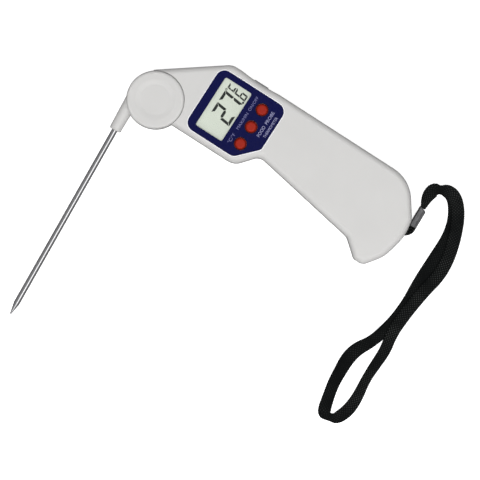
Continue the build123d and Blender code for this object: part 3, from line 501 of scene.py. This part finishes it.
def even_steps(line, pitch, beside=None):
    """The line and a second one beside it, both stepped evenly along the first; and its length."""
    travelled = [0.0]
    for here, there in zip(line, line[1:]):
        travelled.append(travelled[-1] + (there - here).length)
    count = max(2, round(travelled[-1] / pitch))
    beside = beside or line
    points, others, segment = [], [], 0
    for step in range(count + 1):
        reach = travelled[-1] * step / count
        while segment < len(line) - 2 and travelled[segment + 1] < reach:
            segment += 1
        span = travelled[segment + 1] - travelled[segment]
        share = (reach - travelled[segment]) / span if span else 0
        points.append(line[segment].lerp(line[segment + 1], share))
        others.append(beside[segment].lerp(beside[segment + 1], share))
    return points, others, travelled[-1]


def tangents(points):
    last = len(points) - 1
    return [
        (points[min(index + 1, last)] - points[max(index - 1, 0)]).normalized() for index in range(last + 1)
    ]


# ---------------------------------------------------------------- wrist strap
# The route of part.py's strap, in millimetres: out along the outer leg, round the fold and
# back along the inner leg. The outer leg lies on the inner one until they part.
FERRULE_BASE = Vector((163.3, 18.9))
FERRULE_TOP = Vector((162.9, 30.9))
LOW, HIGH = 0.85, 2.6
OUTER_LEG = [
    (161.6, 34.9), (161.1, 40.0), (162.2, 44.4), (165.2, 45.6), (168.0, 47.2), (171.6, 47.6), (175.5, 46.2),
    (179.5, 42.4), (183.0, 37.1), (186.0, 30.4), (188.9, 22.4), (191.2, 12.6), (191.5, 2.5), (189.4, -7.5),
    (187.8, -18.7), (186.8, -29.9), (186.8, -40.0), (188.8, -50.1), (188.4, -60.7), (188.4, -70.3),
    (189.8, -80.5), (189.6, -89.6), (186.6, -97.6),
]
INNER_LEG = [
    (162.0, 34.9), (161.7, 39.8), (162.9, 43.9), (165.5, 45.2), (168.2, 46.5), (171.0, 46.6), (174.3, 45.1),
    (177.9, 41.2), (181.0, 35.9), (183.0, 29.8), (184.2, 22.8), (184.3, 12.6), (184.2, 2.5), (184.3, -7.6),
    (184.9, -18.7), (184.3, -30.1), (182.5, -39.0), (179.5, -49.5), (174.4, -57.9), (172.9, -65.8),
    (173.3, -73.4), (173.8, -81.5), (175.6, -89.9), (177.9, -98.6), (180.2, -99.3),
]
# How the band lies at each of those points: its width on the table, narrower where it tips over.
OUTER_WIDTH = [
    5.2, 7.4, 7.4, 4.2, 6.8, 7.4, 7.4, 7.4, 7.4, 7.4, 7.2, 7.2, 7.2, 7.2, 7.2, 7.2, 6.8, 6.8, 6.2, 5.6, 6.6,
    7.6, 7.2,
]
INNER_WIDTH = [
    5.0, 7.2, 7.2, 4.0, 6.6, 6.8, 7.0, 7.2, 7.2, 7.2, 7.4, 7.8, 7.8, 7.8, 7.2, 7.2, 7.0, 6.8, 8.2, 8.3, 7.6,
    7.1, 7.0, 7.8, 6.4,
]
FOLD = (182.7, -99.3)
FOLD_WIDTH = 4.2
EXIT_Z, RETURN_Z = 2.2, 1.3
# the outer leg comes down to the table from this point on, by so much for each point
FREE_FROM = 16
LEG_DROP = 0.5
STRAP_W = 7.2
STRAP_T = 1.25
GATHER_W = 2.8
GATHER_GAP = 0.1
STRAP_STEP = 0.3
AROUND = 40
SCALLOP = 0.1
YARN_RISE = 0.05
PLEAT_RISE = 0.5
PLEATS = 3


def strap_route():
    """Control points of the whole loop, and the band's width at each of them."""
    gather = (FERRULE_TOP.x, FERRULE_TOP.y + GATHER_GAP)
    outer = []
    for index, (x, y) in enumerate(OUTER_LEG):
        dropped = LEG_DROP * max(0, index - FREE_FROM + 1)
        outer.append((x, y, max(LOW, HIGH - dropped)))
    inner = [(x, y, LOW) for x, y in INNER_LEG]
    route = [(*gather, EXIT_Z), *outer, (*FOLD, LOW), *reversed(inner), (*gather, RETURN_Z)]
    widths = [GATHER_W, *OUTER_WIDTH, FOLD_WIDTH, *reversed(INNER_WIDTH), GATHER_W]
    return [Vector(point) * MM for point in route], [width * MM for width in widths]


def make_strap():
    route, widths = strap_route()
    line = smooth_line(route)
    # the widths run along a spline of their own, so they change as smoothly as the route does
    wide_line = smooth_line([Vector((width, 0, 0)) for width in widths])
    path, wide, total = even_steps(line, STRAP_STEP * MM, wide_line)
    heading = tangents(path)
    up = Vector((0, 0, 1))
    half_t = STRAP_T / 2 * MM
    points, around_at = [], []
    for index, (place, ahead) in enumerate(zip(path, heading)):
        side = up.cross(ahead).normalized()
        along = total * index / (len(path) - 1)
        scallop = SCALLOP * MM * math.sin(2 * math.pi * along / (WEAVE_PITCH / 2))
        half_w = wide[index].x / 2 + scallop
        narrow = 1 - half_w / (STRAP_W / 2 * MM)
        for step in range(AROUND):
            angle = 2 * math.pi * step / AROUND
            share = signed_power(math.cos(angle), 0.7)
            across = share * STRAP_W / 2 * MM
            raised = signed_power(math.sin(angle), 0.55) * half_t
            yarn = math.sin(2 * math.pi * along / WEAVE_PITCH) * math.sin(2 * math.pi * across / WEAVE_PITCH)
            raised += math.copysign(YARN_RISE * MM * yarn, raised) * abs(math.sin(angle))
            pleat = PLEAT_RISE * MM * narrow * math.cos(PLEATS * math.pi * share) * max(0.0, math.sin(angle))
            points.append(place + side * share * half_w + up * (raised + pleat))
            around_at.append(across)
    strap = add_piece("strap_band", points, ring_faces(len(path), AROUND), STRAP)
    lay_uv(strap, AROUND, total / (len(path) - 1), around_at)
    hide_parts("strap_outer_leg", "strap_inner_leg", "strap_fold", "strap_gather")
    return strap, line, total


# ---------------------------------------------------------------- ferrule and cord loop
FERRULE_MIDDLE_Z = 1.8
FERRULE_HALF_W, FERRULE_HALF_H = 2.3, 1.68
GROOVE_PLACE, GROOVE_DEPTH = 0.75, 0.32
PINCH_SHARES, PINCH_DEPTH = (0.3, 0.7), 0.22
SLANT, SLANTED_SHARE = 0.35, 0.2


def bump_at(value, centre, spread):
    """Smooth bump of height 1 at the centre."""
    return math.exp(-((value - centre) ** 2) / spread)


def make_ferrule():
    """Crimped sleeve: a flattened tube with rolled ends, two long grooves, two pinches, a slanted end."""
    start = Vector((FERRULE_BASE.x, FERRULE_BASE.y, FERRULE_MIDDLE_Z)) * MM
    stop = Vector((FERRULE_TOP.x, FERRULE_TOP.y, FERRULE_MIDDLE_Z)) * MM
    along = (stop - start).normalized()
    up = Vector((0, 0, 1))
    side = along.cross(up).normalized()
    length = (stop - start).length
    around, rings = 56, 40
    points = []
    for ring in range(rings + 1):
        share = ring / rings
        from_end = min(share, 1 - share) * length / MM
        lip = 1.0 - 0.1 * math.exp(-from_end / 0.25) + 0.035 * bump_at(from_end, 0.9, 0.12)
        pinch = PINCH_DEPTH * sum(bump_at(share, place, 0.006) for place in PINCH_SHARES)
        for step in range(around):
            angle = 2 * math.pi * step / around
            across = signed_power(math.cos(angle), 0.6) * FERRULE_HALF_W * lip
            raised = signed_power(math.sin(angle), 0.5) * FERRULE_HALF_H * lip
            grooves = bump_at(across, GROOVE_PLACE, 0.05) + bump_at(across, -GROOVE_PLACE, 0.05)
            if raised > 0:
                raised -= GROOVE_DEPTH * grooves + pinch * bump_at(across, 0, 0.8)
            slant = -SLANT * across * max(0.0, share - (1 - SLANTED_SHARE)) / SLANTED_SHARE
            points.append(start + along * (length * share + slant * MM) + (side * across + up * raised) * MM)
    grey = crimped_metal("ferrule_grey")
    piece = add_piece("ferrule_sleeve", points, ring_faces(rings + 1, around), grey)
    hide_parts("ferrule")
    return piece


CORD_R = 1.15
CORD_STEP = 0.15
BRAID_PITCH = 1.6
BRAID_RISE = 0.07


def make_cord_loop():
    """The doubled cord between the ferrule and the post in the housing's edge."""
    route = [
        (164.4, 19.6, 1.9), (164.7, 16.9, 2.0), (163.4, 14.4, 2.3), (160.6, 12.4, 2.45), (157.0, 11.8, 2.45),
        (156.0, 13.6, 2.45), (158.6, 14.9, 2.45), (161.3, 15.2, 2.4), (162.8, 16.9, 2.1), (162.8, 19.6, 1.9),
    ]
    line = smooth_line([Vector(point) * MM for point in route])
    path, _, total = even_steps(line, CORD_STEP * MM)
    heading = tangents(path)
    up = Vector((0, 0, 1))
    around, radius = 24, CORD_R * MM
    points, around_at = [], []
    for index, (place, ahead) in enumerate(zip(path, heading)):
        side = up.cross(ahead).normalized()
        top = ahead.cross(side)
        along = total * index / (len(path) - 1)
        for step in range(around):
            angle = 2 * math.pi * step / around
            twist = 2 * math.pi * along / (BRAID_PITCH * MM)
            braid = BRAID_RISE * MM * math.sin(4 * angle + twist) * math.sin(4 * angle - twist)
            reach = radius + braid
            points.append(place + side * math.cos(angle) * reach + top * math.sin(angle) * reach)
            around_at.append(radius * angle)
    piece = add_piece("cord_loop", points, ring_faces(len(path), around), STRAP)
    lay_uv(piece, around, total / (len(path) - 1), around_at)
    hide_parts("cord_stub")
    return piece


# ---------------------------------------------------------------- front panel details
# x, y and corner radius of the panel, in millimetres
PANEL_CORNERS = [
    (21.6, 36.3, 5.5), (66.2, 36.3, 5.5), (66.2, 8.6, 3.0), (54.6, -3.5, 5.0), (21.6, -3.5, 5.5),
]


def rounded_outline(corners, grow=0.0, steps=10):
    """Closed outline with round corners, listed clockwise, moved outwards by grow."""
    outline = []
    count = len(corners)
    for index, (x, y, radius) in enumerate(corners):
        corner = Vector((x, y))
        before = (Vector(corners[index - 1][:2]) - corner).normalized()
        after = (Vector(corners[(index + 1) % count][:2]) - corner).normalized()
        half = before.angle(after) / 2
        centre = corner + (before + after).normalized() * radius / math.sin(half)
        first = corner + before * radius / math.tan(half) - centre
        sweep = math.pi - 2 * half
        for step in range(steps + 1):
            turned = first.copy()
            turned.rotate(Matrix.Rotation(-sweep * step / steps, 2))
            outline.append(centre + turned * (radius + grow) / radius)
    return outline


# the bead's section: how far outside the panel's edge, and how far above the front shell
BORDER_PROFILE = [(0.05, -0.25), (0.05, 0.0), (0.14, 0.05), (0.34, 0.05), (0.44, 0.0), (0.44, -0.25)]


def make_panel_border():
    """Thin bright bead around the recess that holds the panel."""
    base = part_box("front_shell")[1][2] / MM
    rings = [rounded_outline(PANEL_CORNERS, grow) for grow, _ in BORDER_PROFILE]
    count = len(rings[0])
    points = []
    for index in range(count):
        for ring, (_, rise) in zip(rings, BORDER_PROFILE):
            points.append(Vector((ring[index].x, ring[index].y, base + rise)) * MM)
    finish = moulded_plastic("border_bright", (0.86, 0.86, 0.9), roughness=0.3, grain=0.005 * MM)
    add_piece("panel_border", points, hoop_faces(count, len(BORDER_PROFILE)), finish)


BUTTON_NODES = ("button_on_off", "button_max_min", "button_unit")
RIM_R = 3.78
RIM_HALF_W, RIM_HALF_H = 0.16, 0.12


def make_button_rims():
    """Moulded ring around each button hole in the panel."""
    # near-black, darker than the panel: painted shade for the gap round each button
    finish = smooth_plastic("rim_painted_shade", (0.003, 0.003, 0.02), roughness=0.15, shine=0.3)
    for node in BUTTON_NODES:
        low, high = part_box(node)
        centre = Vector(((low[0] + high[0]) / 2, (low[1] + high[1]) / 2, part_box("bezel_panel")[1][2]))
        around, section = 72, 10
        points = []
        for turn in range(around):
            angle = 2 * math.pi * turn / around
            outward = Vector((math.cos(angle), math.sin(angle), 0))
            for step in range(section):
                roll = 2 * math.pi * step / section
                reach = RIM_R + RIM_HALF_W * math.cos(roll)
                rise = Vector((0, 0, RIM_HALF_H * math.sin(roll)))
                points.append(centre + (outward * reach + rise) * MM)
        rim = node.replace("button", "rim")
        add_piece(rim, points, turned_over(hoop_faces(around, section)), finish)


INK_T = 0.02
WELD = 0.001


def make_label(name, text, place, height, length, finish):
    """Printed text, read along +Y, centred on place, fitted to its cap height and length in mm."""
    curve = bpy.data.curves.new(name, "FONT")
    curve.body = text
    curve.size = 1.0
    curve.extrude = 0.0
    holder = bpy.data.objects.new(name, curve)
    bpy.context.scene.collection.objects.link(holder)
    flat = bpy.data.meshes.new_from_object(holder)
    bpy.data.objects.remove(holder)
    xs = [vertex.co.x for vertex in flat.vertices]
    ys = [vertex.co.y for vertex in flat.vertices]
    scale_x = length * MM / (max(xs) - min(xs))
    scale_y = height * MM / (max(ys) - min(ys))
    middle_x, middle_y = (max(xs) + min(xs)) / 2, (max(ys) + min(ys)) / 2
    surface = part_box("bezel_panel")[1][2]
    ink = INK_T * MM
    build = bmesh.new()
    build.from_mesh(flat)
    for vertex in build.verts:
        along = (vertex.co.x - middle_x) * scale_x
        rise = (vertex.co.y - middle_y) * scale_y
        vertex.co = Vector((place[0] * MM - rise, place[1] * MM + along, surface + ink))
    bmesh.ops.remove_doubles(build, verts=build.verts, dist=WELD * MM)
    extruded = bmesh.ops.extrude_face_region(build, geom=build.faces[:])
    for item in extruded["geom"]:
        if isinstance(item, bmesh.types.BMVert):
            item.co.z = surface - ink
    bmesh.ops.recalc_face_normals(build, faces=build.faces)
    mesh = bpy.data.meshes.new(name)
    build.to_mesh(mesh)
    build.free()
    bpy.data.meshes.remove(flat)
    piece = bpy.data.objects.new(name, mesh)
    bpy.context.scene.collection.objects.link(piece)
    mesh.materials.append(finish)
    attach(piece, HOUSING)


def make_labels():
    pale = printed_ink("ink_pale", (0.30, 0.30, 0.48))
    dim = printed_ink("ink_dim", (0.15, 0.15, 0.32))
    make_label("label_on_off", "ON/OFF", (48.3, 28.2), 1.7, 9.2, dim)
    make_label("label_max_min", "MAX/MIN", (48.3, 16.6), 1.7, 10.8, dim)
    make_label("label_unit", "°C/°F", (48.3, 5.0), 2.0, 6.0, dim)
    make_label("label_food", "FOOD", (60.5, 17.4), 1.9, 6.8, pale)
    make_label("label_probe", "PROBE", (60.5, 26.4), 1.9, 8.0, pale)
    make_label("label_type", "THERMOMETER", (63.8, 22.1), 1.6, 13.6, pale)


# ---------------------------------------------------------------- the model
make_camera()
strap, strap_path, strap_length = make_strap()
ferrule_sleeve = make_ferrule()
cord_loop = make_cord_loop()
make_stage()
finish_nodes()
make_panel_border()
make_button_rims()
make_labels()
